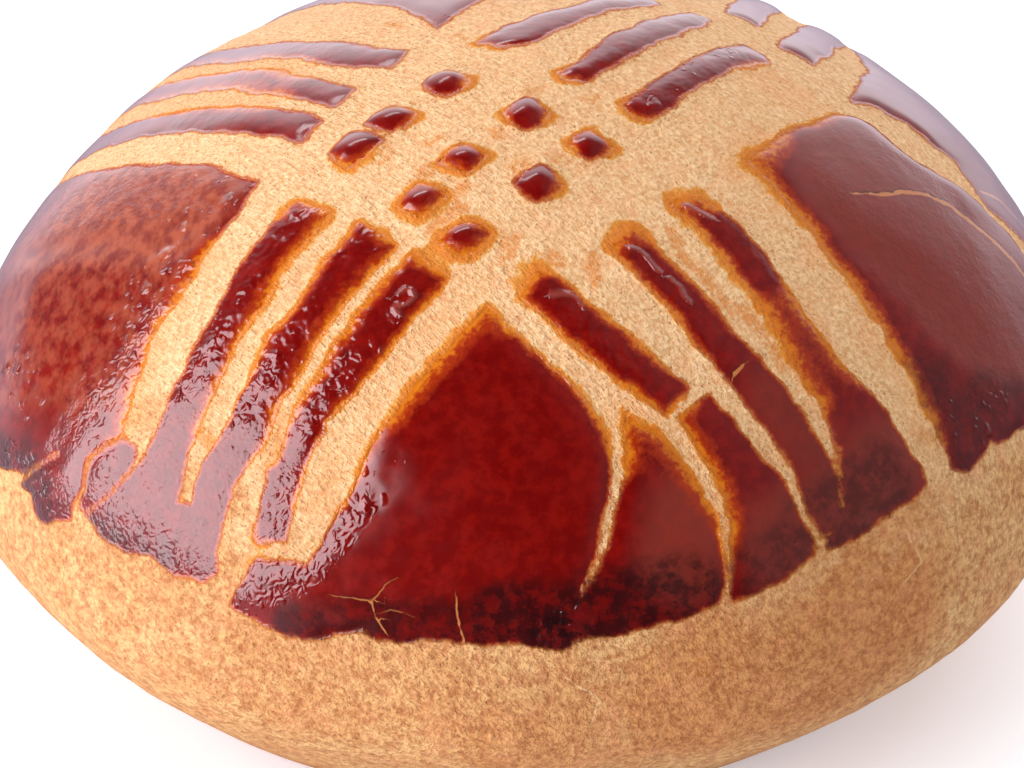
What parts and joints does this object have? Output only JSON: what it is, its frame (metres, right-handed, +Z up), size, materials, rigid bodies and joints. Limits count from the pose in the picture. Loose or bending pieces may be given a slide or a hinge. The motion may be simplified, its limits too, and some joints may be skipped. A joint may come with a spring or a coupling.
{
  "type": "filled bread bun",
  "caption": "Round glossy pogaca, a cheese-filled bread bun with a domed, fork-scored crust and a flat underside.",
  "frame": {"origin": "middle of the flat underside, at the centre of the bun's outline", "axes": "+Z up, +X to the right of the side that the picture shows, +Y to its back"},
  "size_m": [0.1024, 0.0976, 0.0566],
  "materials": {
    "crust": "glossy red-brown egg wash over matte golden dough"
  },
  "bodies": {
    "root": {"bun": "crust"}
  },
  "joints": []
}
